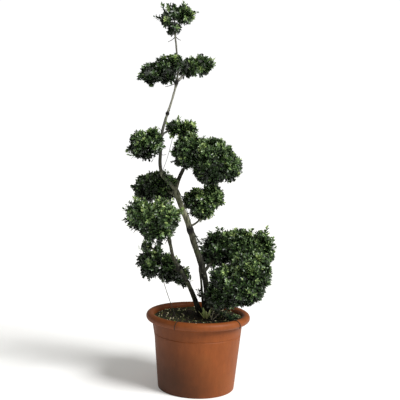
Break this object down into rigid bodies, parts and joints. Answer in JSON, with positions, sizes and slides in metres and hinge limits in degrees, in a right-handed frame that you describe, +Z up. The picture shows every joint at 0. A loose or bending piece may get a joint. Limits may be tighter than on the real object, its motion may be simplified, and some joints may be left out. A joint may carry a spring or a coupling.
{
  "type": "cloud-pruned box tree in a pot",
  "caption": "Small-leaved evergreen with two leaning stems, clipped into pads of foliage, growing in compost in a round pot with a rolled rim.",
  "frame": {"origin": "centre of the pot's flat underside", "axes": "+Z up the tree, +X to the right and +Y to the back as the tree is looked at from its front, where the low double pad is on the right"},
  "size_m": [0.8688, 0.6, 2.1994],
  "materials": {
    "pot": "matte moulded plastic in a terracotta colour",
    "compost": "loose dark moist compost",
    "bark": "grey-brown bark with pruning scars and a little moss",
    "foliage": "small glossy dark green leaves with lighter new growth"
  },
  "bodies": {
    "root": {"pot": "pot", "compost": "compost", "main_trunk": "bark", "leader": "bark", "upper_leader": "bark", "left_stem": "bark", "side_stem": "bark", "bough_upper_right": "bark", "bough_middle_right": "bark", "bough_low_right_back": "bark", "bough_low_right_front": "bark", "bough_middle_left": "bark", "bough_low_left": "bark", "bough_upper_middle": "bark", "bough_tier_left": "bark", "bough_tier_right": "bark", "pad_top": "foliage", "pad_tier_left": "foliage", "pad_tier_right": "foliage", "pad_upper_left": "foliage", "pad_upper_middle": "foliage", "pad_upper_right": "foliage", "pad_middle_right": "foliage", "pad_middle_left": "foliage", "pad_lower_left": "foliage", "pad_low_left": "foliage", "pad_low_right_back": "foliage", "pad_low_right_front": "foliage"}
  },
  "joints": []
}
